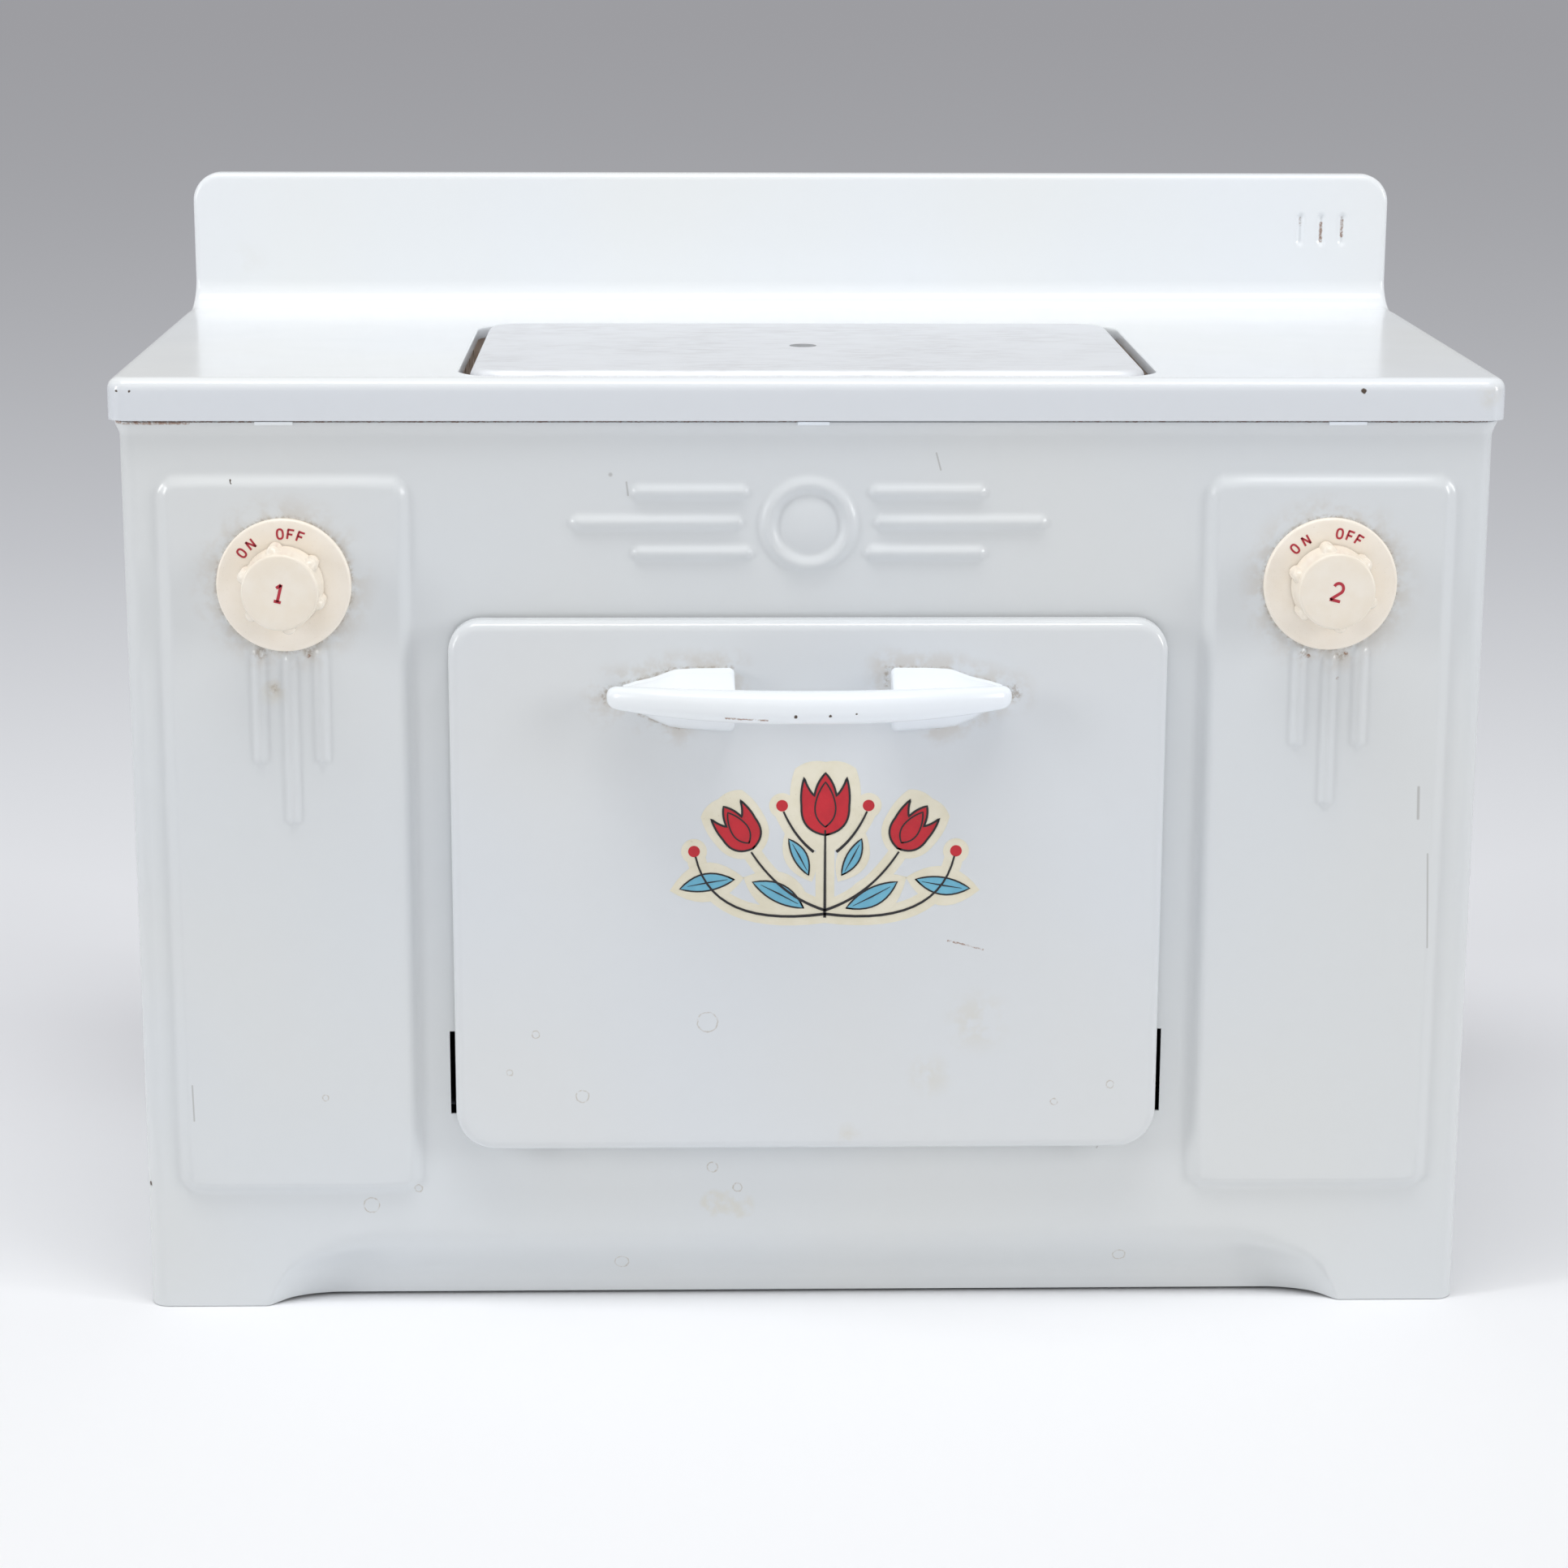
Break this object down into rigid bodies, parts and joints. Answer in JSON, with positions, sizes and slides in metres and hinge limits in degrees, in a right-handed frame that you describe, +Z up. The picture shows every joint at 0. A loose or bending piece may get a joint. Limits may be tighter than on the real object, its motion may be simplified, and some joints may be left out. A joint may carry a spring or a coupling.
{
  "type": "toy stove",
  "caption": "Child's toy electric stove: pressed enamelled steel range with backsplash, top griddle, drop-down oven door and rotary switches.",
  "frame": {"origin": "on the floor, in the middle of the whole outline", "axes": "+Z up, the oven door and knobs face -Y, the backsplash is at +Y, +X to the right of a person facing the door"},
  "size_m": [0.362, 0.1994, 0.2936],
  "materials": {
    "enamel_body": "gloss",
    "enamel_white": "gloss",
    "enamel_handle": "gloss",
    "griddle_metal": "dull, streaked",
    "zinc_sheet": "dull zinc",
    "oven_sheet": "bright tinned",
    "fasteners": "plated",
    "brass_parts": "satin",
    "dial_plastic": "aged gloss",
    "knob_plastic": "aged gloss",
    "switch_moulding": "moulded",
    "element_rod": "oxidised",
    "ceramic_parts": "unglazed",
    "insulation": "matte",
    "inlet_rubber": "matte",
    "red_lead": "satin",
    "black_lead": "satin"
  },
  "bodies": {
    "stove": {"body_shell": "enamel_body", "cooktop": "enamel_white", "griddle_plate": "griddle_metal", "griddle_stud": "griddle_metal", "back_panel": "zinc_sheet", "base_plate": "zinc_sheet", "burner_tray": "zinc_sheet", "liner_stands": "zinc_sheet", "hinge_bracket_left": "zinc_sheet", "hinge_bracket_right": "zinc_sheet", "catch_spring": "zinc_sheet", "oven_liner": "oven_sheet", "back_screws": "fasteners", "griddle_spacer": "fasteners", "griddle_nut": "fasteners", "hinge_rivets": "fasteners", "oven_rack": "fasteners", "switch_nut_left": "brass_parts", "switch_nut_right": "brass_parts", "terminal_screws": "brass_parts", "dial_plate_left": "dial_plastic", "dial_plate_right": "dial_plastic", "switch_left": "switch_moulding", "switch_right": "switch_moulding", "terminal_block": "switch_moulding", "burner_element": "element_rod", "oven_element": "element_rod", "burner_board": "ceramic_parts", "oven_posts": "ceramic_parts", "oven_bushings": "ceramic_parts", "oven_jacket": "insulation", "cord_grommet": "inlet_rubber", "lead_left": "red_lead", "lead_right": "red_lead", "lead_oven": "black_lead", "lead_burner": "black_lead"},
    "door": {"door_shell": "enamel_white", "door_liner": "oven_sheet", "door_handle": "enamel_handle", "handle_screws": "fasteners", "catch_tongue": "zinc_sheet", "hinge_pin_left": "fasteners", "hinge_pin_right": "fasteners", "stay_arm_left": "zinc_sheet", "stay_arm_right": "zinc_sheet"},
    "knob_left": {"knob_left": "knob_plastic", "shaft_left": "brass_parts"},
    "knob_right": {"knob_right": "knob_plastic", "shaft_right": "brass_parts"}
  },
  "joints": [
    {"name": "door_hinge", "type": "hinge", "parent": "stove", "child": "door", "pos_m": [0, -0.07385, 0.0483], "axis": [1, 0, 0], "range_deg": [0, 90]},
    {"name": "left_switch", "type": "hinge", "parent": "stove", "child": "knob_left", "pos_m": [-0.1364, -0.08075, 0.2005], "axis": [0, -1, 0], "range_deg": [0, 53]},
    {"name": "right_switch", "type": "hinge", "parent": "stove", "child": "knob_right", "pos_m": [0.1364, -0.08075, 0.2005], "axis": [0, -1, 0], "range_deg": [0, 53]}
  ]
}
